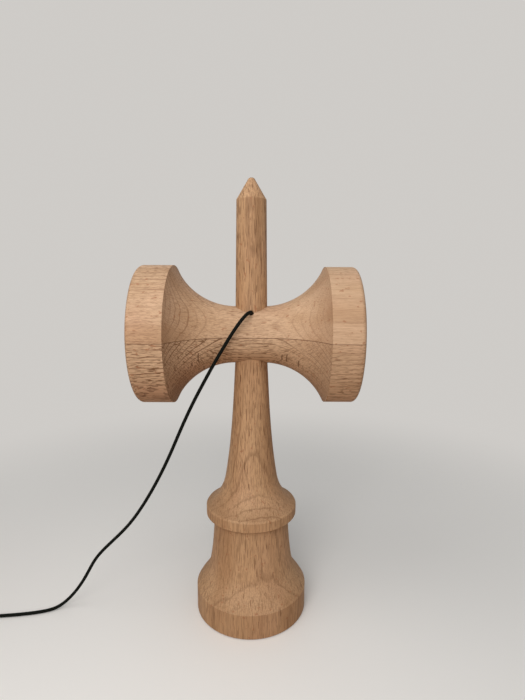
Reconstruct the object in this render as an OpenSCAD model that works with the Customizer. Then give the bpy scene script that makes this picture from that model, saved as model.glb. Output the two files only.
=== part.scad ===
// Cup and ball toy: a turned handle with a spike and a cup in its foot, a crosspiece with a cup at each
// end, and a drilled ball on a string. All sizes in millimetres.
// The origin is the centre of the foot's rim on the table, +Z runs up the handle, X along the crosspiece,
// and the front is towards -Y.

/* [Handle] */
// Height from the table to the tip of the spike
handle_h = 160; // [155:1:170]
// Height of the spike's pointed end
point_h = 7.3; // [5:0.1:12]
// Radius of the blunt tip
tip_r = 1.1; // [0.6:0.1:2]
// Radius of the spike where its point begins
spike_r = 5.2; // [4.2:0.05:5.4]
// Radius of the stem at the underside of the crosspiece
stem_r = 5.85; // [5.6:0.05:6.4]
// Radius of the stem where it starts to spread into the collar
stem_foot_r = 9.7; // [8:0.1:11]
// Height of the curve from the stem to the collar
shoulder_h = 10.1; // [7:0.1:12]
// Radius of the collar
collar_r = 16.9; // [16.4:0.1:20]
// Height of the collar's underside
collar_z = 38.2; // [36:0.1:44]
// Height of the collar's upright band
collar_h = 4.2; // [3:0.1:6]
// Radius of the body just under the collar
waist_r = 13.9; // [13:0.1:15]
// Radius of the body above the foot
body_r = 15.6; // [15:0.1:17]
// Radius of the foot
foot_r = 20.9; // [20.5:0.1:24]
// Height of the foot's upright band
foot_h = 10.1; // [7:0.1:13]
// Height of the curve from the foot to the body
foot_flare_h = 9.1; // [8:0.1:13]
// Radius of the cup in the foot at its mouth
foot_cup_r = 18.2; // [16:0.1:19.5]
// Depth of the cup in the foot
foot_cup_depth = 8; // [6:0.1:11]
// Width of the broken edges on the turned pieces
edge_w = 0.4; // [0.2:0.1:0.8]

/* [Crosspiece] */
// Height of the crosspiece's axis
cross_z = 106.1; // [104:0.1:112]
// Radius of the crosspiece's neck
neck_r = 10.1; // [9:0.1:11.5]
// Radius of the hollow curve between the neck and each cup
flare_r = 23.5; // [20:0.1:28]
// Distance from the handle's axis to the big cup's rim
big_reach = 38.9; // [36:0.1:44]
// Radius of the big cup's outside
big_r = 24.4; // [23:0.1:26]
// Width of the band round the big cup
big_band_w = 11.7; // [9:0.1:13]
// Radius of the big cup's mouth
big_mouth_r = 21.8; // [19:0.1:22]
// Depth of the big cup
big_depth = 11; // [8:0.1:14]
// Distance from the handle's axis to the small cup's rim
small_reach = 36.5; // [34:0.1:42]
// Radius of the small cup's outside
small_r = 24; // [22.5:0.1:26]
// Width of the band round the small cup
small_band_w = 10.7; // [9:0.1:12]
// Radius of the small cup's mouth
small_mouth_r = 21.3; // [19:0.1:21.5]
// Depth of the small cup
small_depth = 10.5; // [8:0.1:13]
// Radius of the rounded outer edge of each cup's rim
rim_round = 1.4; // [0.6:0.1:1.6]
// Gap all round between the handle's taper and the crosspiece
seat_gap = 0.05; // [0.02:0.01:0.1]

/* [Ball] */
// Diameter of the ball
ball_d = 60; // [56:0.5:66]
// Radius of the hole for the spike
spike_hole_r = 10.5; // [9:0.1:12]
// Depth of the spike hole's straight wall, from the ball's surface on the axis
spike_hole_depth = 42; // [38:0.5:43]
// Width of the bevel at the spike hole's mouth
mouth_bevel_w = 1.2; // [0.6:0.1:2]
// Height of the cone between the spike hole and the bead's chamber
chamber_cone_h = 4.5; // [3:0.1:5]
// Thickness of wood between the bead's chamber and the ball's surface
chamber_floor_w = 6; // [5:0.1:7]
// Tilt of the spike hole's axis from upright, towards the left
ball_tilt = 50; // [40:1:60]

/* [Bead] */
// Diameter of the bead
bead_d = 7; // [6:0.1:7.4]
// Height of the bead between its flat ends
bead_h = 6.2; // [5:0.1:6.6]
// Gap between the bead and its chamber
bead_gap = 0.3; // [0.15:0.05:0.6]

/* [String] */
// Diameter of the string
string_d = 1.2; // [1:0.1:1.6]
// Gap all round between the string and the holes it runs through
string_gap = 0.4; // [0.2:0.05:0.6]
// Depth below the crosspiece's top at which the string's hole crosses the handle's axis
string_hole_drop = 5.4; // [5:0.1:6]
// Rise of the string's hole towards the front, in degrees
string_hole_tilt = 30; // [25:1:34]
// Length of each knot
knot_l = 2.4; // [2:0.1:2.6]
// Radius of each knot
knot_r = 1.9; // [1.5:0.05:2.1]
// Gap between the knot and its recess in the handle
knot_gap = 0.4; // [0.2:0.1:0.6]
// Turns of string in the coil
coil_turns = 4; // [4:2:6]
// Radius of the coil's outermost turn
coil_r = 8.9; // [8.6:0.1:12]
// Gap between neighbouring turns of the coil
coil_gap = 0.5; // [0.45:0.05:0.8]
// Thickness of the band that ties the coil
tie_t = 0.5; // [0.4:0.05:0.8]
// Width of the band that ties the coil
tie_w = 3; // [2:0.1:4]
// Gap between the tie and the turns that it holds
tie_gap = 0.05; // [0.05:0.05:0.2]
// Length on the table between the coil and the place where the string rises to the ball
tail_lie = 16.8; // [14:0.1:24]

/* [Hidden] */
$fn = 128;

beech = "burlywood";
pale_beech = "wheat";
cord_green = "darkslategray";

// How far cutting tools run past the faces they cut
past = 2;

// Heights on the handle
seat_z = cross_z - neck_r;
collar_top_z = collar_z + collar_h;
shoulder_top_z = collar_top_z + shoulder_h;
foot_flare_z = foot_h + foot_flare_h;
point_z = handle_h - point_h;

// Points along a smooth curve from a to d, which leaves a towards b and reaches d from c
curve_steps = 28;
tip_steps = 8;
function curve(a, b, c, d, steps = curve_steps) = [
    for (i = [0 : steps])
        let (t = i / steps, s = 1 - t)
            s * s * s * a + 3 * s * s * t * b + 3 * s * t * t * c + t * t * t * d
];

// Radius of the handle's taper at a height between the stem and the spike's point
function taper_r(z) = stem_r + (spike_r - stem_r) * (z - seat_z) / (point_z - seat_z);

// Radius of the sphere that hollows a cup of a given mouth and depth
function dish_r(mouth_r, depth) = (mouth_r * mouth_r + depth * depth) / (2 * depth);

// Half of the handle's outline, from the foot up; each curve's handles are shares of its width and height
foot_edge_r = foot_r - edge_w;
foot_step = foot_edge_r - body_r;
collar_edge_r = collar_r - edge_w;
shoulder_step = collar_edge_r - stem_foot_r;
stem_step = stem_foot_r - stem_r;
stem_h = seat_z - shoulder_top_z;
waist_h = collar_z - foot_flare_z;
edge_h = 1.5 * edge_w;
tip_h = 0.4 * tip_r;
handle_outline = concat(
    [[0, 0], [foot_edge_r, 0], [foot_r, edge_w], [foot_r, foot_h - edge_h]],
    curve([foot_edge_r, foot_h],
          [foot_edge_r - 0.28 * foot_step, foot_h + 0.3 * foot_flare_h],
          [body_r + 0.16 * foot_step, foot_h + 0.51 * foot_flare_h],
          [body_r, foot_flare_z]),
    curve([body_r, foot_flare_z],
          [waist_r + 0.42 * (body_r - waist_r), foot_flare_z + 0.28 * waist_h],
          [waist_r + 0.12 * (body_r - waist_r), foot_flare_z + 0.65 * waist_h],
          [waist_r, collar_z]),
    [[collar_edge_r, collar_z], [collar_r, collar_z + edge_w], [collar_r, collar_top_z - edge_h]],
    curve([collar_edge_r, collar_top_z],
          [collar_edge_r - 0.44 * shoulder_step, collar_top_z + 0.18 * shoulder_h],
          [stem_foot_r + 0.17 * shoulder_step, collar_top_z + 0.43 * shoulder_h],
          [stem_foot_r, shoulder_top_z]),
    curve([stem_foot_r, shoulder_top_z],
          [stem_r + 0.37 * stem_step, shoulder_top_z + 0.32 * stem_h],
          [stem_r + 0.21 * stem_step, shoulder_top_z + 0.64 * stem_h],
          [stem_r, seat_z]),
    [[spike_r, point_z]],
    curve([tip_r, handle_h - tip_h],
          [0.75 * tip_r, handle_h - 0.35 * tip_h],
          [0.5 * tip_r, handle_h],
          [0, handle_h],
          tip_steps)
);

// The string's hole through the handle: a slanted line that rises to the front, from the knot's seat
// behind the handle's axis to the place where it leaves the crosspiece's neck
string_r = string_d / 2;
string_hole_r = string_r + string_gap;
string_hole_rise = neck_r - string_hole_drop;
string_hole_z = cross_z + string_hole_rise;
knot_seat = -1.2;
exit_reach = sqrt(pow(neck_r, 2) - pow(string_hole_rise * cos(string_hole_tilt), 2))
    - string_hole_rise * sin(string_hole_tilt);
function on_string_hole(s) = [0, -s * cos(string_hole_tilt), string_hole_z + s * sin(string_hole_tilt)];
string_exit = on_string_hole(exit_reach);

// A tool that runs along the string's hole, from one place on its line to another
module string_hole(r, from, to) {
    translate([0, 0, string_hole_z])
        rotate([90 - string_hole_tilt, 0, 0])
            translate([0, 0, from])
                cylinder(h = to - from, r = r);
}

// A spherical hollow whose mouth is the XY plane, facing -Z
module dish(mouth_r, depth) {
    r = dish_r(mouth_r, depth);
    translate([0, 0, depth - r])
        sphere(r);
}

module handle() {
    color(beech)
    difference() {
        rotate_extrude()
            polygon(handle_outline);
        dish(foot_cup_r, foot_cup_depth);
        string_hole(string_hole_r, knot_seat, stem_r + past);
        string_hole(knot_r + knot_gap, -stem_r - past, knot_seat);
    }
}

// A knot drawn tight into a barrel, with flat ends, standing on the XY plane
module knot() {
    bulge_r = 2 * knot_r;
    rotate_extrude()
        intersection() {
            square([knot_r, knot_l]);
            translate([knot_r - bulge_r, knot_l / 2])
                circle(bulge_r);
        }
}

module handle_knot() {
    color(cord_green)
    translate([0, 0, string_hole_z])
        rotate([90 - string_hole_tilt, 0, 0])
            translate([0, 0, knot_seat - knot_l])
                knot();
}

// One arm of the crosspiece along +Z, from the handle's axis to the cup's rim
module arm(reach, r, band_w, mouth_r, depth) {
    rise = r - neck_r;
    flare_end = reach - band_w;
    flare_start = flare_end - sqrt(flare_r * flare_r - (flare_r - rise) * (flare_r - rise));
    difference() {
        rotate_extrude()
            difference() {
                union() {
                    polygon([[0, 0], [r, 0], [r, reach - rim_round], [r - rim_round, reach], [0, reach]]);
                    translate([r - rim_round, reach - rim_round])
                        circle(rim_round);
                }
                translate([neck_r, -past])
                    square([r, flare_start + past]);
                translate([neck_r + flare_r, flare_start])
                    circle(flare_r);
            }
        translate([0, 0, reach])
            mirror([0, 0, 1])
                dish(mouth_r, depth);
        translate([0, 0, reach - edge_w])
            cylinder(h = 2 * edge_w, r1 = mouth_r - edge_w, r2 = mouth_r + edge_w);
    }
}

// The whole crosspiece, with its tapered bore and the notch that lets the string out at the front
module crosspiece() {
    bore_low = seat_z - past;
    bore_high = cross_z + neck_r + past;
    difference() {
        translate([0, 0, cross_z])
            union() {
                rotate([0, -90, 0])
                    arm(big_reach, big_r, big_band_w, big_mouth_r, big_depth);
                rotate([0, 90, 0])
                    arm(small_reach, small_r, small_band_w, small_mouth_r, small_depth);
            }
        translate([0, 0, bore_low])
            cylinder(h = bore_high - bore_low,
                     r1 = taper_r(bore_low) + seat_gap,
                     r2 = taper_r(bore_high) + seat_gap);
        string_hole(string_hole_r, 0, neck_r + past);
    }
}

// A box that holds everything on one side of the crosspiece's glue line
module half_space(side) {
    size = 2 * (big_reach + small_reach);
    translate([-size / 2, -size / 2, side > 0 ? cross_z : cross_z - size])
        cube(size);
}

module crosspiece_upper_half() {
    color(pale_beech)
    intersection() {
        crosspiece();
        half_space(1);
    }
}

module crosspiece_lower_half() {
    color(beech)
    intersection() {
        crosspiece();
        half_space(-1);
    }
}

// The coil: the turns spiral in on the lower layer, climb in the half turn where the spiral reverses,
// and spiral out again on the upper layer
coil_line_y = -11;
coil_centre = [-112, coil_line_y - coil_r];
coil_low_z = tie_t + tie_gap + string_r;
coil_pitch = string_d + coil_gap;
coil_rings = 24;
coil_climb = 0.5;
function smooth(t) = let (s = min(1, max(0, t))) s * s * (3 - 2 * s);
function coil_point(turn) =
    let (
        from_end = min(turn, coil_turns - turn),
        r = coil_r - coil_pitch * from_end,
        rise = smooth((turn - coil_turns / 2) / coil_climb + 0.5),
        angle = 90 + 360 * turn
    )
    [coil_centre[0] + r * cos(angle), coil_centre[1] + r * sin(angle), coil_low_z + coil_pitch * rise];
coil_turn_points = [for (i = [0 : coil_turns * coil_rings]) coil_point(i / coil_rings)];
coil_start = coil_point(0) + [string_d, 0, 0];
coil_end = coil_point(coil_turns) - [string_d, 0, 0];
coil_points = concat([coil_start], coil_turn_points, [coil_end]);

// The coil's least gap to itself, between points that are at least a third of a turn apart
coil_least_gap = min([
    for (i = [0 : len(coil_turn_points) - 1])
        for (j = [i + coil_rings / 3 : 1 : len(coil_turn_points) - 1])
            norm(coil_turn_points[i] - coil_turn_points[j]) - string_d
]);
echo(coil_least_gap = coil_least_gap);

// The string's route: out of the handle, over the crosspiece's neck, down to the table and on to the coil
lie_z = string_r + 0.1;
hole_steps = 3;
coil_joint_gap = [0.05, 0, 0];
string_route = concat(
    [for (i = [0 : hole_steps]) on_string_hole(knot_seat + i * (exit_reach - knot_seat) / hole_steps)],
    [
        for (offset = [[0, -1.35, 0.45], [-0.8, -3.35, 0.45], [-2.3, -5.25, -0.9], [-4.1, -6.4, -3.2],
                       [-5.9, -6.85, -5.85], [-7.95, -6.85, -9.1], [-12.4, -6.55, -16.65],
                       [-15.9, -6.05, -23.15], [-19.4, -5.55, -29.6]])
            string_exit + offset
    ],
    [[-24, -10, 75], [-28, -9, 65.5], [-32, -8, 57], [-36, -7.5, 49.5], [-40.5, -7, 42], [-45.5, -6.5, 35],
     [-52, -6, 28.5], [-58.5, -5.5, 22], [-62, -5, 15], [-66.5, -4.5, 7.5]],
    [for (place = [[-73, -5], [-78, -8], [-90, -10], [-103, coil_line_y]]) [place[0], place[1], lie_z]],
    [coil_start + [string_d, 0, 0], coil_start + coil_joint_gap]
);

// The ball's own frame: its centre, and the spike hole's axis pointing out of the mouth. The axis runs
// down to the place on the table where the string starts to rise.
ball_r = ball_d / 2;
rise_start = [coil_end[0] - tail_lie, coil_line_y, lie_z];
ball_axis = [-sin(ball_tilt), 0, cos(ball_tilt)];
ball_centre = rise_start + (ball_r - lie_z) / cos(ball_tilt) * ball_axis;
chamber_floor = chamber_floor_w - ball_r;
chamber_r = bead_d / 2 + bead_gap;
bead_low = chamber_floor + bead_gap;
bead_high = bead_low + bead_h;
spike_hole_end = ball_r - spike_hole_depth;
mouth_r = spike_hole_r + mouth_bevel_w;
mouth_edge = sqrt(ball_r * ball_r - mouth_r * mouth_r);
function on_ball_axis(s) = ball_centre + s * ball_axis;

// The string's last stretch: off the coil, down to the table and up into the ball
tail_steps = 4;
rise_steps = 3;
tail_drop = coil_end[2] - lie_z;
tail_drop_share = 0.75;
ball_entry = on_ball_axis(-ball_r);
string_tail_route = concat(
    [coil_end, coil_end - [string_d, 0, 0]],
    [
        for (i = [1 : tail_steps])
            let (t = i / tail_steps)
                coil_end - [t * tail_lie, 0, tail_drop * smooth(t / tail_drop_share)]
    ],
    [for (i = [1 : rise_steps]) rise_start + i / rise_steps * (ball_entry - rise_start)],
    [on_ball_axis(chamber_floor), on_ball_axis(bead_high)]
);

// A smooth line that follows a list of points and rounds its bends, with a ring every few diameters
ring_step = 2.6 * string_d;
function line_point(p, i, t) =
    let (
        last = len(p) - 1,
        b = p[i],
        c = p[i + 1],
        a = i > 0 ? p[i - 1] : 2 * b - c,
        d = i + 2 <= last ? p[i + 2] : 2 * c - b,
        s = 1 - t
    )
    (pow(s, 3) * a + (3 * pow(t, 3) - 6 * t * t + 4) * b
        + (3 * pow(s, 3) - 6 * s * s + 4) * c + pow(t, 3) * d) / 6;
function line(p) = concat(
    [
        for (i = [0 : len(p) - 2])
            let (steps = ceil(norm(p[i + 1] - p[i]) / ring_step))
                for (k = [0 : steps - 1])
                    line_point(p, i, k / steps)
    ],
    [p[len(p) - 1]]
);

// A closed tube along a line of points; aside is a direction that the line never takes
module tube(points, sides, aside) {
    last = len(points) - 1;
    corners = [
        for (i = [0 : last])
            let (
                run = points[min(i + 1, last)] - points[max(i - 1, 0)],
                across = cross(run, aside),
                u = across / norm(across),
                up = cross(run, u),
                v = up / norm(up)
            )
            for (k = [0 : sides - 1])
                points[i] + string_r * (cos(360 * k / sides) * u + sin(360 * k / sides) * v)
    ];
    walls = [
        for (i = [0 : last - 1])
            for (k = [0 : sides - 1])
                let (
                    a = i * sides + k,
                    b = i * sides + (k + 1) % sides
                )
                each [[a, a + sides, b], [b, a + sides, b + sides]]
    ];
    ends = [
        for (k = [1 : sides - 2])
            each [[0, k, k + 1], [last * sides, last * sides + k + 1, last * sides + k]]
    ];
    polyhedron(corners, concat(walls, ends));
}

module string() {
    color(cord_green)
    tube(line(string_route), 8, [1, -1, -1]);
}

module string_coil() {
    color(cord_green)
    tube(coil_points, 6, [0, 0, 1]);
}

module string_tail() {
    color(cord_green)
    tube(line(string_tail_route), 8, [0, 1, 0]);
}

// A band round the coil's turns on the side away from the string, where the two layers lie in line. It has
// room for the inmost turn, which bows and spirals inwards over the band's width.
module coil_tie() {
    turns_r = coil_r - coil_pitch * coil_turns / 4;
    turns_half_w = (coil_turns / 2 - 1) * coil_pitch / 2;
    inmost_r = turns_r - turns_half_w;
    bow = (pow(tie_w, 2) / 8 + coil_pitch * tie_w / (4 * PI)) / inmost_r;
    half_w = turns_half_w + string_r + tie_gap + bow / 2;
    half_h = coil_pitch / 2 + string_r + tie_gap;
    color(cord_green)
    translate([coil_centre[0] - tie_w / 2, coil_centre[1] - turns_r + bow / 2, tie_t + half_h])
        rotate([90, 0, 90])
            linear_extrude(tie_w)
                difference() {
                    square([2 * (half_w + tie_t), 2 * (half_h + tie_t)], center = true);
                    square([2 * half_w, 2 * half_h], center = true);
                }
}

// Puts a piece that is drawn about the spike hole's axis into the ball's place
module in_ball() {
    translate(ball_centre)
        rotate([0, -ball_tilt, 0])
            children();
}

module bead() {
    color(pale_beech)
    in_ball()
        difference() {
            intersection() {
                translate([0, 0, bead_low + bead_h / 2])
                    sphere(bead_d / 2);
                translate([0, 0, bead_low])
                    cylinder(h = bead_h, r = bead_d);
            }
            translate([0, 0, bead_low - past])
                cylinder(h = bead_h + 2 * past, r = string_r + string_gap / 2);
        }
}

module bead_knot() {
    color(cord_green)
    in_ball()
        translate([0, 0, bead_high])
            knot();
}

module ball() {
    color(pale_beech)
    in_ball()
        difference() {
            sphere(ball_r);
            translate([0, 0, spike_hole_end])
                cylinder(h = spike_hole_depth + past, r = spike_hole_r);
            translate([0, 0, mouth_edge - mouth_bevel_w])
                cylinder(h = 2 * mouth_bevel_w, r1 = spike_hole_r, r2 = mouth_r + mouth_bevel_w);
            translate([0, 0, spike_hole_end - chamber_cone_h])
                cylinder(h = chamber_cone_h, r1 = chamber_r, r2 = spike_hole_r);
            translate([0, 0, chamber_floor])
                cylinder(h = spike_hole_end - chamber_floor, r = chamber_r);
            translate([0, 0, -ball_r - past])
                cylinder(h = ball_r, r = string_hole_r);
        }
}

handle();
handle_knot();
crosspiece_upper_half();
crosspiece_lower_half();
string();
string_coil();
coil_tie();
string_tail();
bead();
bead_knot();
ball();
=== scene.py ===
"""Looks of a cup and ball toy: bare beech handle, crosspiece, ball and bead, and a dark braided string.

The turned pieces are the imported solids, dressed with beech. The string with its coil, its knots and the
thread that ties the coil are modelled here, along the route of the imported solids. Lengths are in metres,
but the figure of the wood is in millimetres.
"""

import math
from typing import NamedTuple

import bmesh
import bpy
from mathutils import Euler, Matrix, Vector


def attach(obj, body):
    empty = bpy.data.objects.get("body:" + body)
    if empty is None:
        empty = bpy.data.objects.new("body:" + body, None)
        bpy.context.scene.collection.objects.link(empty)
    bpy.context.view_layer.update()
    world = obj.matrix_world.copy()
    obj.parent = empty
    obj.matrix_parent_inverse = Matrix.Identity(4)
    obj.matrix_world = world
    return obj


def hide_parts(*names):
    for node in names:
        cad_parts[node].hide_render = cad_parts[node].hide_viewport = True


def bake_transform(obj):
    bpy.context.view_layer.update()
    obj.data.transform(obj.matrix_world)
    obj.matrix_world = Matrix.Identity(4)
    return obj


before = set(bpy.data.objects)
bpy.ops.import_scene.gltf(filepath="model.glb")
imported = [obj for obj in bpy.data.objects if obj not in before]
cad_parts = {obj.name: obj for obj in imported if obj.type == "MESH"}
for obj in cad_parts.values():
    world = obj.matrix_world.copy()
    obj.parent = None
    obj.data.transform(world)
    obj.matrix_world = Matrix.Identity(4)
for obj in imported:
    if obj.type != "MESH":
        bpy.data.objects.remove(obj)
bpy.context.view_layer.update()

MM = 0.001

# Sizes of the toy that its looks follow
CROSS_HEIGHT = 0.1061
NECK_RADIUS = 0.0101
BALL_RADIUS = 0.030
BALL_TILT = math.radians(50)

# String: its thickness, its hole through the handle and its lie on the table
STRING_RADIUS = 0.0006
STRING_STEP = 0.0006
HOLE_DROP = 0.0054
HOLE_RISE = NECK_RADIUS - HOLE_DROP
HOLE_TILT = math.radians(30)
TABLE_GAP = 0.0001
LIE_HEIGHT = STRING_RADIUS + TABLE_GAP

# Knots: where the handle's knot sits on the hole's axis, and the size of both
KNOT_SEAT = -0.0012
KNOT_LENGTH = 0.0024
KNOT_RADIUS = 0.0019
KNOT_STRAND = 0.00055
KNOT_STEPS = 120

# Coil: the turns spiral in on the lower layer and out again on the upper one
COIL_TURNS = 4
COIL_STEPS = 60
COIL_RADIUS = 0.0089
COIL_PITCH = 0.0017
COIL_CLIMB = 0.5
COIL_LINE_Y = -0.011
COIL_CENTRE = Vector((-0.112, COIL_LINE_Y - COIL_RADIUS, 0.00115))
COIL_LEAD = Vector((2 * STRING_RADIUS, 0, 0))
TAIL_LIE = 0.0168
TAIL_DROP_SHARE = 0.75

# Tie: thread wound round the coil on the side away from the string, with room for the inmost turn's bow
TIE_WINDS = 5
TIE_STEPS = 48
TIE_RADIUS = 0.00025
TIE_GAP = 0.00005
TIE_BOW = 0.00012
TIE_SQUARENESS = 0.4

# Ball: the floor of the bead's chamber and the bead's top on the spike hole's axis, from the ball's centre
CHAMBER_FLOOR = -0.024
BEAD_HIGH = -0.0175

# Smoothness of the string's line between two points, and of a tube's round
LINE_STEPS = 12
TUBE_ROUNDNESS = 4


class Figure(NamedTuple):
    """A kind of random mark in the wood.

    size is in millimetres across the grain, aside and along it, detail is how finely the mark is broken up,
    and the mark starts and is full at two shares of the pattern.
    """

    size: tuple
    detail: float
    starts: float
    full: float


# Beech: its random marks, where a ray's size is a depth and shares of a fleck's width and length
TONES = Figure(size=(9, 9, 55), detail=3.0, starts=0.3, full=0.72)
BLUSHES = Figure(size=(16, 16, 26), detail=1.5, starts=0.45, full=0.75)
PATCHES = Figure(size=(14, 14, 20), detail=1.0, starts=0.35, full=0.65)
PORES = Figure(size=(0.28, 0.28, 9), detail=2.0, starts=0.45, full=0.62)
FINE_RAYS = Figure(size=(1.4, 1, 1), detail=1.0, starts=0.53, full=0.57)
BOLD_RAYS = Figure(size=(1.8, 1.4, 1.4), detail=1.0, starts=0.6, full=0.63)
CHIPS = Figure(size=(1.1, 1.1, 1.7), detail=1.0, starts=0.69, full=0.72)

# Beech: how its growth rings wander and waver, and the share of a year where the late wood starts and ends
WANDER = 3.2
WANDER_SIZE = (26, 26, 140)
WANDER_APART = 7
WAVE = 0.6
WAVE_SIZE = (4, 4, 10)
YEAR_DRIFT = 1.6
YEAR_DRIFT_SIZE = (9, 200, 1)
YEAR_SHARE = 0.5
LATE_START = (0.72, 0.9)
LATE_END = (0.93, 1.0)
END_GRAIN = (0.45, 1.0)

# Beech: colours that all pieces share, and how strongly the marks show
ROSY = (0.62, 0.34, 0.22)
CHIP = (0.36, 0.15, 0.07)
DARK_LINE = (0.16, 0.08, 0.04)
BLUSH_SHARE = 0.3
FINE_RAY_SHARE = 0.7
CHIP_SHARE = 0.6
END_GRAIN_SHARE = 0.3
SEAM_SHARE = 0.9
CATCH_SHARE = 0.85

# Beech: roughness, gloss and relief of its surface
WOOD_ROUGHNESS = 0.58
TONE_ROUGHNESS = 0.12
RAY_ROUGHNESS = 0.06
END_ROUGHNESS = 0.08
WOOD_GLOSS = 0.3
LATHE_SIZE = (0.22, 1, 1)
LATHE_RELIEF = 0.5
RAY_RELIEF = 0.35
PORE_RELIEF = 0.4
RING_RELIEF = 0.25
WOOD_RELIEF = 0.35
WOOD_RELIEF_DEPTH = 0.00012

# Glue line between the crosspiece's boards, in millimetres
SEAM_CORE = 0.04
SEAM_EDGE = 0.12
SEAM_WAVER = 0.14
SEAM_WAVER_SIZE = (1.5, 1, 1)

# Tool marks on the lower board: place along it, lowest and highest point, in millimetres
CATCHES = (
    (-19.8, -9.8, -7.8),
    (-17.7, -8.9, -4.6),
    (10.7, -7.9, -5.4),
    (12.3, -8.7, -5.2),
    (16.3, -10.2, -7.3),
)
CATCH_BOW = 0.07
CATCH_CORE = 0.12
CATCH_EDGE = 0.3
CATCH_TAPER = 0.5

# Cord: its braid, its colours in the hollows and on the strands, where the darker hollows are painted shade,
# and its surface
BRAID_PICK = 0.0013
BRAID_STRANDS = 4
CORD_HOLLOW_PAINTED_SHADE = (0.0011, 0.0015, 0.0009)
CORD_STRAND = (0.0055, 0.007, 0.0046)
CORD_SHADE = (0.2, 1.0)
CORD_FIBRE_SIZE = (1 / 1.5, 1 / 9, 1)
CORD_ROUGHNESS = 0.9
CORD_WORN = 0.15
CORD_GLOSS = 0.12
STRAND_RELIEF = 0.8
FIBRE_RELIEF = 0.3
CORD_RELIEF = 0.6
CORD_RELIEF_DEPTH = 0.00015

# Camera: fitted to the outlines in the photograph
CAMERA_PLACE = (0.00385, -0.16796, 0.12827)
CAMERA_PITCH = math.radians(9.418)
CAMERA_YAW = math.radians(-0.06)
CAMERA_ROLL = math.radians(0.266)
CAMERA_LENS = 24.21
CAMERA_SENSOR = 36
CAMERA_NEAR = 0.01
CAMERA_FAR = 20

# Stage: the floor as it is seen and as it sends light back, and the surround that it fades into
FLOOR_HALF = 6
FLOOR_SEEN = (0.93, 0.91, 0.88)
FLOOR_BOUNCE = (0.36, 0.20, 0.10)
FLOOR_ROUGHNESS = 0.9
FAR_COLOUR = (0.62, 0.60, 0.575)
FADE_START = 0.08
FADE_END = 0.28
AIR_COLOUR = (0.97, 0.99, 1.0)
AIR_POWER = 0.34


class Wire:
    """A socket of a node tree. Arithmetic on wires adds Math nodes, and node() adds any other node."""

    def __init__(self, tree, socket=None):
        self.tree = tree
        self.socket = socket

    def node(self, kind, settings=None, sockets=None, output=0):
        made = self.tree.nodes.new(kind)
        for name, value in (settings or {}).items():
            setattr(made, name, value)
        for name, value in (sockets or {}).items():
            if isinstance(value, Wire):
                self.tree.links.new(value.socket, made.inputs[name])
            else:
                made.inputs[name].default_value = value
        return Wire(self.tree, made.outputs[output])

    def other(self, output):
        """Another output of the node that this wire comes from."""
        return Wire(self.tree, self.socket.node.outputs[output])

    def into(self, shader, name):
        """Feeds an input of a shader."""
        self.tree.links.new(self.socket, shader.inputs[name])

    def math(self, operation, *terms):
        return self.node("ShaderNodeMath", {"operation": operation}, dict(enumerate(terms)))

    def __add__(self, term):
        return self.math("ADD", self, term)

    def __radd__(self, term):
        return self.math("ADD", term, self)

    def __sub__(self, term):
        return self.math("SUBTRACT", self, term)

    def __rsub__(self, term):
        return self.math("SUBTRACT", term, self)

    def __mul__(self, term):
        return self.math("MULTIPLY", self, term)

    def __truediv__(self, term):
        return self.math("DIVIDE", self, term)

    def __pow__(self, term):
        return self.math("POWER", self, term)

    def __abs__(self):
        return self.math("ABSOLUTE", self)


def new_material(name):
    """A material with its shader, and a wire to start its nodes from."""
    material = bpy.data.materials.new(name)
    material.use_nodes = True
    return material, material.node_tree.nodes["Principled BSDF"], Wire(material.node_tree)


def colour(red, green, blue):
    return (red, green, blue, 1.0)


def blend_colour(share, first, second):
    return share.node(
        "ShaderNodeMix",
        {"data_type": "RGBA", "blend_type": "MIX"},
        {0: share, 6: first, 7: second},
        2,
    )


def joined(x, y, z):
    return x.node("ShaderNodeCombineXYZ", None, {"X": x, "Y": y, "Z": z})


def parts(vector):
    """The three parts of a place or a direction."""
    split = vector.node("ShaderNodeSeparateXYZ", None, {"Vector": vector})
    return split.other("X"), split.other("Y"), split.other("Z")


def ease(value, low, high):
    """0 below low and 1 above high, with a soft step between."""
    return value.node(
        "ShaderNodeMapRange",
        {"interpolation_type": "SMOOTHSTEP"},
        {"Value": value, "From Min": low, "From Max": high},
    )


def blotches(place, size, shift=(0, 0, 0), detail=2.0):
    """Soft random blotches of a given size each way. A shift picks another stretch of the same pattern."""
    scaled = place.node(
        "ShaderNodeVectorMath",
        {"operation": "MULTIPLY_ADD"},
        {0: place, 1: [1 / side for side in size], 2: shift},
    )
    return place.node(
        "ShaderNodeTexNoise",
        {"noise_dimensions": "3D"},
        {"Vector": scaled, "Scale": 1.0, "Detail": detail},
        "Fac",
    )


def marked(place, figure, shift=(0, 0, 0), sparse=0.0):
    """How strongly a kind of mark shows, from 0 to 1. sparse leaves out the weaker marks."""
    found = blotches(place, figure.size, shift, figure.detail)
    return ease(found, figure.starts + sparse, figure.full + sparse)


def give_relief(shader, height, strength, depth):
    bump = height.node(
        "ShaderNodeBump", None, {"Strength": strength, "Distance": depth, "Height": height}, "Normal"
    )
    bump.into(shader, "Normal")


def grown_place(local, seed):
    """How far from the heart of the tree a point of the wood grew, and at what angle round it."""
    across, aside = parts(local)[:2]
    drift = blotches(local, WANDER_SIZE, (seed, 0, 0)) - 0.5
    sway = blotches(local, WANDER_SIZE, (0, seed, WANDER_APART)) - 0.5
    grown_x = across + drift * WANDER
    grown_y = aside + sway * WANDER
    reach = (grown_x * grown_x + grown_y * grown_y) ** 0.5
    return reach, local.math("ARCTAN2", grown_y, grown_x)


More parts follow.
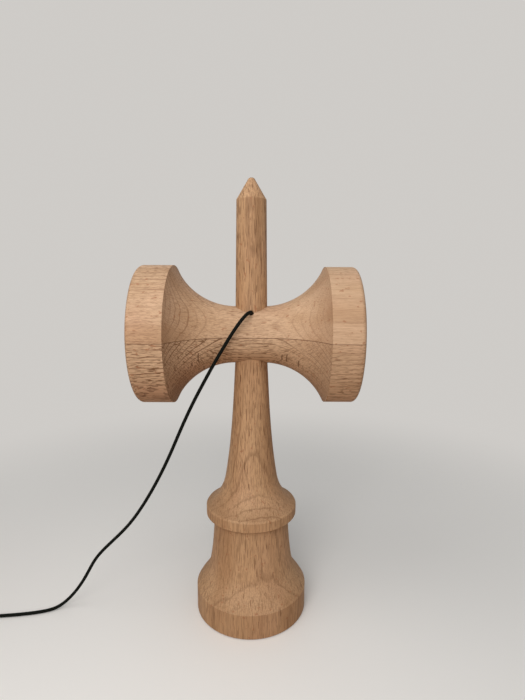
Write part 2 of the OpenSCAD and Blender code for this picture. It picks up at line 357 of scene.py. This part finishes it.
def late_wood(local, reach, along, ring_width, seed):
    """The dark wood that ends each year's ring, stronger in some years and in some patches."""
    drift = blotches(joined(reach, along, 0.0), YEAR_DRIFT_SIZE, detail=1.0) * YEAR_DRIFT
    waviness = blotches(local, WAVE_SIZE, (0, 0, seed)) * WAVE
    year = reach / ring_width + drift + waviness
    season = year.math("FRACT", year)
    whole_year = year.math("FLOOR", year)
    year_tone = year.node("ShaderNodeTexWhiteNoise", {"noise_dimensions": "1D"}, {"W": whole_year})
    patch = marked(local, PATCHES, (0, 0, seed))
    strength = year_tone * YEAR_SHARE + patch * (1 - YEAR_SHARE)
    return ease(season, *LATE_START) * (1 - ease(season, *LATE_END)) * strength


def glue_seam(level, along):
    """The thin line where the crosspiece's two boards meet, a little wider here and there."""
    waver = blotches(joined(along, 0.0, 0.0), SEAM_WAVER_SIZE)
    return 1 - ease(abs(level), SEAM_CORE, SEAM_EDGE + waver * SEAM_WAVER)


def tool_catch(level, along, stand, bottom, top):
    """A short bowed line where the turning tool caught the wood."""
    off_middle = level - (bottom + top) / 2
    aside = along - stand - off_middle * off_middle * CATCH_BOW
    rise = ease(level, bottom, bottom + CATCH_TAPER)
    fall = ease(level, top - CATCH_TAPER, top)
    return (1 - ease(abs(aside), CATCH_CORE, CATCH_EDGE)) * rise * (1 - fall)


def beech(
    name, turn, centre, heart, ring_width, pale, deep, dark, seed,
    change=(0, 1), rings=(0.6, 0.6), flecks=(0.7, 0.7), fleck_length=2.0, fleck_width=0.22,
    sparse=0.02, fibres=0.2, glued=False, catches=(),
):
    """Bare turned beech: growth rings round the heart, ray flecks, pores, lathe marks and darker end grain.

    turn lays the grain along Z, and heart is a point on the middle of the tree that the piece was cut from.
    The figure changes between two places along the grain, and rings and flecks have a strength for each side.
    """
    material, shader, start = new_material(name)
    place = start.node("ShaderNodeTexCoord", output="Object")
    lay = Euler(turn).to_matrix()
    local = start.node(
        "ShaderNodeMapping",
        {"vector_type": "POINT"},
        {"Vector": place, "Location": lay @ Vector(heart) / -MM, "Rotation": turn, "Scale": (1 / MM,) * 3},
    )
    along = parts(local)[2]
    reach, angle = grown_place(local, seed)
    heart_reach = (lay @ (Vector(centre) - Vector(heart))).xy.length / MM
    sweep = angle * heart_reach
    in_flecks = joined(reach, sweep / fleck_width, along / fleck_length)

    tone = blotches(local, TONES.size, (0, 0, seed), TONES.detail)
    late = late_wood(local, reach, along, ring_width, seed)
    pores = marked(local, PORES)
    fine_rays = marked(in_flecks, FINE_RAYS, (0, 0, seed), sparse)
    bold_rays = marked(in_flecks, BOLD_RAYS, (0, 0, -seed), sparse)
    changed = ease(along, *change)
    ring_strength = rings[0] + changed * (rings[1] - rings[0])
    fleck_strength = flecks[0] + changed * (flecks[1] - flecks[0])

    normal = start.node("ShaderNodeTexCoord", output="Normal")
    facing = start.node(
        "ShaderNodeMapping", {"vector_type": "NORMAL"}, {"Vector": normal, "Rotation": turn}
    )
    end_grain = ease(abs(parts(facing)[2]), *END_GRAIN)

    wood = blend_colour(ease(tone, TONES.starts, TONES.full), colour(*pale), colour(*deep))
    for share, tint in (
        (marked(local, BLUSHES, (0, seed, 0)) * BLUSH_SHARE, ROSY),
        (late * ring_strength, dark),
        (pores * fibres, dark),
        (fine_rays * fleck_strength * FINE_RAY_SHARE, dark),
        (bold_rays * fleck_strength, dark),
        (marked(local, CHIPS, (0, 0, seed)) * CHIP_SHARE, CHIP),
        (end_grain * END_GRAIN_SHARE, dark),
    ):
        wood = blend_colour(share, wood, colour(*tint))
    if glued:
        level = parts(place)[2] / MM - CROSS_HEIGHT / MM
        wood = blend_colour(glue_seam(level, along) * SEAM_SHARE, wood, colour(*DARK_LINE))
        for catch in catches:
            wood = blend_colour(tool_catch(level, along, *catch) * CATCH_SHARE, wood, colour(*DARK_LINE))
    wood.into(shader, "Base Color")

    roughness = (
        WOOD_ROUGHNESS + tone * TONE_ROUGHNESS + bold_rays * RAY_ROUGHNESS + end_grain * END_ROUGHNESS
    )
    roughness.into(shader, "Roughness")
    shader.inputs["Specular IOR Level"].default_value = WOOD_GLOSS

    lathe = blotches(joined(along, 0.0, 0.0), LATHE_SIZE)
    relief = lathe * LATHE_RELIEF - bold_rays * RAY_RELIEF - pores * PORE_RELIEF - late * RING_RELIEF
    give_relief(shader, relief, WOOD_RELIEF, WOOD_RELIEF_DEPTH)
    return material


def handle_beech():
    """Warm close-grained beech with long flecks, which are fainter from the collar down."""
    return beech(
        "handle_beech_grain",
        turn=(0, 0, 0),
        centre=(0, 0, CROSS_HEIGHT),
        heart=(-0.008, 0.048, CROSS_HEIGHT),
        ring_width=2.6,
        pale=(0.573, 0.352, 0.192),
        deep=(0.479, 0.275, 0.141),
        dark=(0.2, 0.1, 0.045),
        seed=3,
        change=(-40, -65),
        flecks=(1.0, 0.6),
        fleck_length=4.6,
        fleck_width=0.19,
        sparse=0.05,
        fibres=0.28,
    )


def upper_board_beech():
    """The upper board, with soft rings and short flecks, plainer towards the small cup."""
    return beech(
        "upper_board_grain",
        turn=(0, math.radians(-90), 0),
        centre=(0, 0, CROSS_HEIGHT),
        heart=(0, -0.039, CROSS_HEIGHT + 0.020),
        ring_width=1.9,
        pale=(0.66, 0.445, 0.285),
        deep=(0.53, 0.335, 0.195),
        dark=(0.27, 0.14, 0.072),
        seed=11,
        change=(0, 16),
        rings=(0.85, 0.35),
        flecks=(0.65, 0.26),
        fleck_length=1.8,
        fleck_width=0.24,
        sparse=0.03,
        fibres=0.25,
        glued=True,
    )


def lower_board_beech():
    """The lower board, with close dark rings, dark flecks and the marks of the turning tool."""
    return beech(
        "lower_board_grain",
        turn=(0, math.radians(-90), 0),
        centre=(0, 0, CROSS_HEIGHT),
        heart=(0, -0.080, CROSS_HEIGHT + 0.041),
        ring_width=1.5,
        pale=(0.68, 0.465, 0.297),
        deep=(0.55, 0.352, 0.21),
        dark=(0.2, 0.1, 0.048),
        seed=29,
        change=(0, 16),
        rings=(1.5, 0.85),
        flecks=(0.95, 0.52),
        fleck_length=2.6,
        fleck_width=0.17,
        sparse=0.02,
        fibres=0.2,
        glued=True,
        catches=CATCHES,
    )


def ball_beech():
    """Plain beech with its grain along the spike hole, for the ball and its bead."""
    return beech(
        "ball_beech_grain",
        turn=(0, BALL_TILT, 0),
        centre=BALL_CENTRE,
        heart=BALL_CENTRE + Vector((0.01, 0.06, 0.01)),
        ring_width=2.5,
        pale=(0.64, 0.42, 0.27),
        deep=(0.51, 0.31, 0.185),
        dark=(0.26, 0.135, 0.068),
        seed=47,
    )


def dress(material, *nodes):
    for node in nodes:
        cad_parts[node].data.materials[0] = material


def cord_finish(name, length):
    """Dark braid for a string of a given length, with crossing strands and fine fibres, on its UV map. The
    hollows between the strands are painted darker as shade.
    """
    material, shader, start = new_material(name)
    place = start.node("ShaderNodeUVMap", {"uv_map": "UVMap"})
    length_share, girth_share = parts(place)[:2]
    run = length_share * (length / BRAID_PICK)
    girth = girth_share * BRAID_STRANDS
    left = run + girth
    right = run - girth
    left_lie = abs(left.math("FRACT", left) - 0.5) * 2
    right_lie = abs(right.math("FRACT", right) - 0.5) * 2
    pick = left.math("FLOORED_MODULO", left.math("FLOOR", left) + right.math("FLOOR", right), 2)
    over = left.math("COMPARE", pick, 0.0, 0.5)
    height = (1 - left_lie * left_lie) * over + (1 - right_lie * right_lie) * (1 - over)
    fibres = blotches(joined(left, right, 0.0), CORD_FIBRE_SIZE)
    raised = height * STRAND_RELIEF + fibres * FIBRE_RELIEF

    # Painted shade: the hollows between the strands are coloured darker than the strands' tops; the fibre
    # blotches are the cord's own tone.
    shade = blend_colour(ease(raised, *CORD_SHADE), colour(*CORD_HOLLOW_PAINTED_SHADE), colour(*CORD_STRAND))
    shade.into(shader, "Base Color")
    roughness = CORD_ROUGHNESS - height * CORD_WORN
    roughness.into(shader, "Roughness")
    shader.inputs["Specular IOR Level"].default_value = CORD_GLOSS
    give_relief(shader, raised, CORD_RELIEF, CORD_RELIEF_DEPTH)
    return material


def soft_step(share):
    held = min(1, max(0, share))
    return held * held * (3 - 2 * held)


def on_string_hole(reach):
    """A point on the string's hole through the handle, which rises to the front."""
    rise = CROSS_HEIGHT + HOLE_RISE + reach * math.sin(HOLE_TILT)
    return Vector((0, -reach * math.cos(HOLE_TILT), rise))


def coil_point(turn):
    """A point of the coil, counted in turns from where the string comes in."""
    from_end = min(turn, COIL_TURNS - turn)
    radius = COIL_RADIUS - COIL_PITCH * from_end
    angle = math.radians(90 + 360 * turn)
    climb = COIL_PITCH * soft_step((turn - COIL_TURNS / 2) / COIL_CLIMB + 0.5)
    return COIL_CENTRE + Vector((radius * math.cos(angle), radius * math.sin(angle), climb))


# Places along the string, from the handle to the ball
HOLE_ACROSS = HOLE_RISE * math.cos(HOLE_TILT)
EXIT_REACH = math.sqrt(NECK_RADIUS**2 - HOLE_ACROSS**2) - HOLE_RISE * math.sin(HOLE_TILT)
STRING_EXIT = on_string_hole(EXIT_REACH)
COIL_START = coil_point(0) + COIL_LEAD
COIL_END = coil_point(COIL_TURNS) - COIL_LEAD
RISE_START = Vector((COIL_END.x - TAIL_LIE, COIL_LINE_Y, LIE_HEIGHT))
BALL_AXIS = Vector((-math.sin(BALL_TILT), 0, math.cos(BALL_TILT)))
BALL_CENTRE = RISE_START + BALL_AXIS * ((BALL_RADIUS - LIE_HEIGHT) / math.cos(BALL_TILT))
KNOT_IN_HANDLE = (on_string_hole(KNOT_SEAT - KNOT_LENGTH / 2), STRING_EXIT - on_string_hole(0))
KNOT_IN_BALL = (BALL_CENTRE + BALL_AXIS * (BEAD_HIGH + KNOT_LENGTH / 2), BALL_AXIS)


def string_route():
    """Out of the handle, over the crosspiece's neck, down to the table and on to the coil."""
    hole_steps = 3
    inside = [
        on_string_hole(KNOT_SEAT + step * (EXIT_REACH - KNOT_SEAT) / hole_steps)
        for step in range(hole_steps + 1)
    ]
    over_neck = [
        (0, -0.00135, 0.00045), (-0.0008, -0.00335, 0.00045), (-0.0023, -0.00525, -0.0009),
        (-0.0041, -0.0064, -0.0032), (-0.0059, -0.00685, -0.00585), (-0.00795, -0.00685, -0.0091),
        (-0.0124, -0.00655, -0.01665), (-0.0159, -0.00605, -0.02315), (-0.0194, -0.00555, -0.0296),
    ]
    down = [
        (-0.024, -0.010, 0.075), (-0.028, -0.009, 0.0655), (-0.032, -0.008, 0.057),
        (-0.036, -0.0075, 0.0495), (-0.0405, -0.007, 0.042), (-0.0455, -0.0065, 0.035),
        (-0.052, -0.006, 0.0285), (-0.0585, -0.0055, 0.022), (-0.062, -0.005, 0.015),
        (-0.0665, -0.0045, 0.0075),
    ]
    on_table = [(-0.073, -0.005), (-0.078, -0.008), (-0.090, -0.010), (-0.103, COIL_LINE_Y)]
    return [
        *inside,
        *[STRING_EXIT + Vector(offset) for offset in over_neck],
        *[Vector(point) for point in down],
        *[Vector((x, y, LIE_HEIGHT)) for x, y in on_table],
        COIL_START + COIL_LEAD,
        COIL_START,
    ]


def coil_route():
    """Round the coil's turns, without their two ends."""
    return [coil_point(step / COIL_STEPS) for step in range(1, COIL_TURNS * COIL_STEPS)]


def tail_route():
    """Off the coil, down to the table and up into the ball."""
    lie_steps = 4
    rise_steps = 3
    drop = COIL_END.z - LIE_HEIGHT
    entry = BALL_CENTRE - BALL_AXIS * BALL_RADIUS
    lying = []
    for step in range(1, lie_steps + 1):
        share = step / lie_steps
        lying.append(COIL_END - Vector((share * TAIL_LIE, 0, drop * soft_step(share / TAIL_DROP_SHARE))))
    rising = [RISE_START.lerp(entry, step / rise_steps) for step in range(1, rise_steps + 1)]
    inside = [BALL_CENTRE + BALL_AXIS * reach for reach in (CHAMBER_FLOOR, BEAD_HIGH)]
    return [COIL_END, COIL_END - COIL_LEAD, *lying, *rising, *inside]


def knot_line(centre, axis):
    """A string tied in a trefoil and drawn tight about an axis, as a closed line."""
    spread = (KNOT_RADIUS - KNOT_STRAND) / 3
    rise = KNOT_LENGTH / 2 - KNOT_STRAND
    turn = axis.to_track_quat("Z", "Y")
    line = []
    for step in range(KNOT_STEPS):
        angle = math.tau * step / KNOT_STEPS
        loop = Vector((
            spread * (math.sin(angle) + 2 * math.sin(2 * angle)),
            spread * (math.cos(angle) - 2 * math.cos(2 * angle)),
            -rise * math.sin(3 * angle),
        ))
        line.append(centre + turn @ loop)
    return line


def squared(share):
    """Pushes a sine or cosine out towards the sides of a square."""
    return math.copysign(abs(share) ** TIE_SQUARENESS, share)


def tie_line():
    """Thread wound side by side round the coil's two layers, in a rounded square."""
    turns_radius = COIL_RADIUS - COIL_PITCH * COIL_TURNS / 4
    centre = COIL_CENTRE + Vector((0, TIE_BOW - turns_radius, COIL_PITCH / 2))
    half_height = COIL_PITCH / 2 + STRING_RADIUS + TIE_GAP + TIE_RADIUS
    half_width = half_height + TIE_BOW
    line = []
    for step in range(TIE_WINDS * TIE_STEPS + 1):
        wound = step / TIE_STEPS
        angle = math.tau * wound
        place = Vector((
            (wound - TIE_WINDS / 2) * 2 * TIE_RADIUS,
            half_width * squared(math.cos(angle)),
            half_height * squared(math.sin(angle)),
        ))
        line.append(centre + place)
    return line


def smooth_line(points):
    """A smooth line that follows a list of points and rounds its bends."""
    ahead = 2 * points[0] - points[1]
    beyond = 2 * points[-1] - points[-2]
    held = [ahead, *points, beyond]
    line = []
    for first, second, third, fourth in zip(held, held[1:], held[2:], held[3:]):
        for step in range(LINE_STEPS):
            gone = step / LINE_STEPS
            left = 1 - gone
            drawn = left**3 * first + (3 * gone**3 - 6 * gone**2 + 4) * second
            drawn += (3 * left**3 - 6 * left**2 + 4) * third
            drawn += gone**3 * fourth
            line.append(drawn / 6)
    line.append(points[-1])
    return line


def evenly(line, gap):
    """The same line with its points an even gap apart."""
    spaced = [line[0]]
    left = gap
    for start, end in zip(line, line[1:]):
        length = (end - start).length
        gone = 0
        while length - gone >= left:
            gone += left
            spaced.append(start.lerp(end, gone / length))
            left = gap
        left -= length - gone
    spaced.append(line[-1])
    return spaced


def line_length(line):
    return sum((end - start).length for start, end in zip(line, line[1:]))


def tube(name, line, radius, closed=False):
    """A round tube along a line, as a mesh. Its UV map runs along it and round it."""
    data = bpy.data.curves.new(name + "_line", "CURVE")
    data.dimensions = "3D"
    data.twist_mode = "MINIMUM"
    data.bevel_depth = radius
    data.bevel_resolution = TUBE_ROUNDNESS
    data.use_fill_caps = not closed
    spline = data.splines.new("POLY")
    spline.points.add(len(line) - 1)
    spline.points.foreach_set("co", [value for point in line for value in (*point, 1.0)])
    spline.use_cyclic_u = closed
    drawn = bpy.data.objects.new(name + "_line", data)
    bpy.context.scene.collection.objects.link(drawn)
    mesh = bpy.data.meshes.new_from_object(drawn.evaluated_get(bpy.context.evaluated_depsgraph_get()))
    bpy.data.objects.remove(drawn)
    mesh.name = name
    mesh.polygons.foreach_set("use_smooth", [True] * len(mesh.polygons))
    made = bpy.data.objects.new(name, mesh)
    bpy.context.scene.collection.objects.link(made)
    return made


def make_string(line):
    """The whole string as one piece."""
    string = tube("braided_string", line, STRING_RADIUS)
    string.data.materials.append(cord_finish("cord_braid", line_length(line)))
    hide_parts("string", "string_coil", "string_tail")
    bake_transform(string)
    return string


def make_knots_and_tie():
    """The knot at each end of the string and the thread round its coil."""
    pieces = []
    for name, line, radius, closed, body in (
        ("handle_knot", knot_line(*KNOT_IN_HANDLE), KNOT_STRAND, True, "handle"),
        ("bead_knot", knot_line(*KNOT_IN_BALL), KNOT_STRAND, True, "string_end"),
        ("coil_tie", tie_line(), TIE_RADIUS, False, "string_end"),
    ):
        piece = tube(name + "_cord", line, radius, closed)
        piece.data.materials.append(cord_finish(name + "_braid", line_length(line)))
        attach(piece, body)
        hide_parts(name)
        pieces.append(piece)
    return pieces


def make_camera():
    data = bpy.data.cameras.new("camera")
    data.sensor_width = CAMERA_SENSOR
    data.lens = CAMERA_LENS
    data.clip_start = CAMERA_NEAR
    data.clip_end = CAMERA_FAR
    camera = bpy.data.objects.new("camera", data)
    turn = (
        Matrix.Rotation(CAMERA_YAW, 4, "Z")
        @ Matrix.Rotation(math.pi / 2 - CAMERA_PITCH, 4, "X")
        @ Matrix.Rotation(CAMERA_ROLL, 4, "Z")
    )
    camera.matrix_world = Matrix.Translation(CAMERA_PLACE) @ turn
    bpy.context.scene.collection.objects.link(camera)
    bpy.context.scene.camera = camera


def area_light(name, place, aim, size, power, tint):
    data = bpy.data.lights.new(name, "AREA")
    data.shape = "DISK"
    data.size = size
    data.energy = power
    data.color = tint
    light = bpy.data.objects.new(name, data)
    light.location = place
    light.rotation_euler = (Vector(aim) - Vector(place)).to_track_quat("-Z", "Y").to_euler()
    light.visible_camera = False
    bpy.context.scene.collection.objects.link(light)


def seen_rays(start):
    """1 for rays that show the stage, straight or in a gloss or glass, and 0 for the light it sends back."""
    path = start.node("ShaderNodeLightPath")
    return path.other("Is Camera Ray") + path.other("Is Glossy Ray") + path.other("Is Transmission Ray")


def floor_finish():
    """A pale floor that fades into the surround. It looks paler than the warm light that it sends back."""
    material, shader, start = new_material("pale_floor")
    seen = seen_rays(start)
    blend_colour(seen, colour(*FLOOR_BOUNCE), colour(*FLOOR_SEEN)).into(shader, "Base Color")
    shader.inputs["Roughness"].default_value = FLOOR_ROUGHNESS
    place = start.node("ShaderNodeTexCoord", output="Object")
    reach = start.node("ShaderNodeVectorMath", {"operation": "LENGTH"}, {0: place}, "Value")
    near = Wire(start.tree, shader.outputs["BSDF"])
    far = start.node("ShaderNodeEmission", None, {"Color": colour(*FAR_COLOUR), "Strength": 1.0})
    fade = ease(reach, FADE_START, FADE_END) * seen
    faded = start.node("ShaderNodeMixShader", None, {0: fade, 1: near, 2: far})
    faded.into(start.tree.nodes["Material Output"], "Surface")
    return material


def make_floor():
    mesh = bpy.data.meshes.new("floor")
    sheet = bmesh.new()
    bmesh.ops.create_grid(sheet, x_segments=1, y_segments=1, size=FLOOR_HALF)
    sheet.to_mesh(mesh)
    sheet.free()
    mesh.materials.append(floor_finish())
    floor = bpy.data.objects.new("floor", mesh)
    bpy.context.scene.collection.objects.link(floor)


def make_surround():
    """Soft even light from all round, seen as an even pale backdrop."""
    world = bpy.data.worlds.new("surround")
    world.use_nodes = True
    air = Wire(world.node_tree)
    light = air.node("ShaderNodeBackground", None, {"Color": colour(*AIR_COLOUR), "Strength": AIR_POWER})
    backdrop = air.node("ShaderNodeBackground", None, {"Color": colour(*FAR_COLOUR), "Strength": 1.0})
    mixed = air.node("ShaderNodeMixShader", None, {0: seen_rays(air), 1: light, 2: backdrop})
    mixed.into(world.node_tree.nodes["World Output"], "Surface")
    bpy.context.scene.world = world


# Stage
make_camera()
make_floor()
make_surround()
area_light(
    "front",
    place=(-0.06, -0.27, 0.21),
    aim=(0, 0, 0.09),
    size=0.22,
    power=0.54,
    tint=(1.0, 0.97, 0.94),
)
area_light(
    "top",
    place=(-0.07, -0.10, 0.38),
    aim=(0, 0, 0.06),
    size=0.22,
    power=0.27,
    tint=(1.0, 0.98, 0.96),
)
bpy.context.scene.view_settings.view_transform = "Standard"

# String, with the knots and the tie that go with it
string_line = evenly(
    [*smooth_line(string_route()), *coil_route(), *smooth_line(tail_route())], STRING_STEP
)
string = make_string(string_line)
line_length(string_line)
make_knots_and_tie()

# Wood
dress(handle_beech(), "handle")
dress(upper_board_beech(), "crosspiece_upper_half")
dress(lower_board_beech(), "crosspiece_lower_half")
dress(ball_beech(), "ball", "bead")
